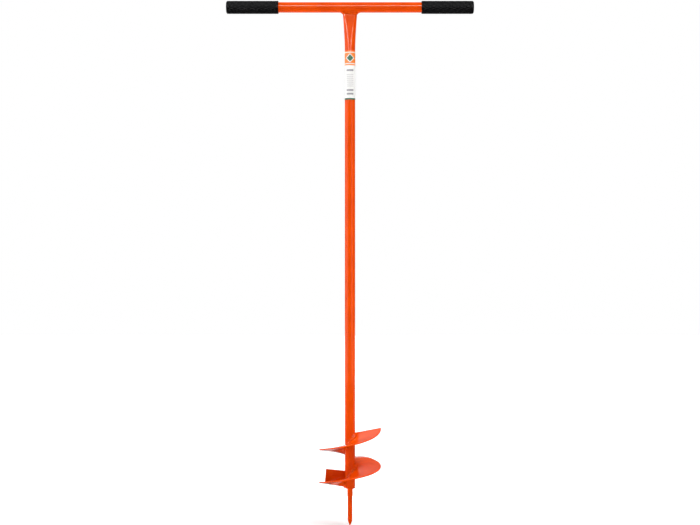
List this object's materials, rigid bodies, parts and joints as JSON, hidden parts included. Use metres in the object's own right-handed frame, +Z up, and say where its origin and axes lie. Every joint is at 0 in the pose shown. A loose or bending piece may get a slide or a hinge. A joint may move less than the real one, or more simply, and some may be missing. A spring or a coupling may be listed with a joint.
{
  "type": "hand earth auger",
  "caption": "Hand earth auger: welded steel T-handle with moulded grips, a long tube shank, a right-hand screw flight with a soil stop plate, and a pilot spike.",
  "frame": {"origin": "the tip of the spike, on the shank's axis", "axes": "+Z up the shank to the handle, +X along the crossbar, +Y to the back"},
  "size_m": [0.5984, 0.15, 1.2705],
  "materials": {
    "painted_steel": "gloss",
    "painted_weld": "gloss",
    "grip": "satin",
    "label": "satin"
  },
  "bodies": {
    "root": {"crossbar_tube": "painted_steel", "shank_tube": "painted_steel", "lower_flight": "painted_steel", "upper_flight": "painted_steel", "soil_stop_plate": "painted_steel", "end_plug": "painted_steel", "spike": "painted_steel", "crossbar_weld": "painted_weld", "flight_seam_weld": "painted_weld", "flight_top_weld": "painted_weld", "flight_under_weld": "painted_weld", "stop_plate_weld": "painted_weld", "plug_weld": "painted_weld", "spike_weld": "painted_weld", "left_grip": "grip", "right_grip": "grip", "label_wrap": "label"}
  },
  "joints": []
}
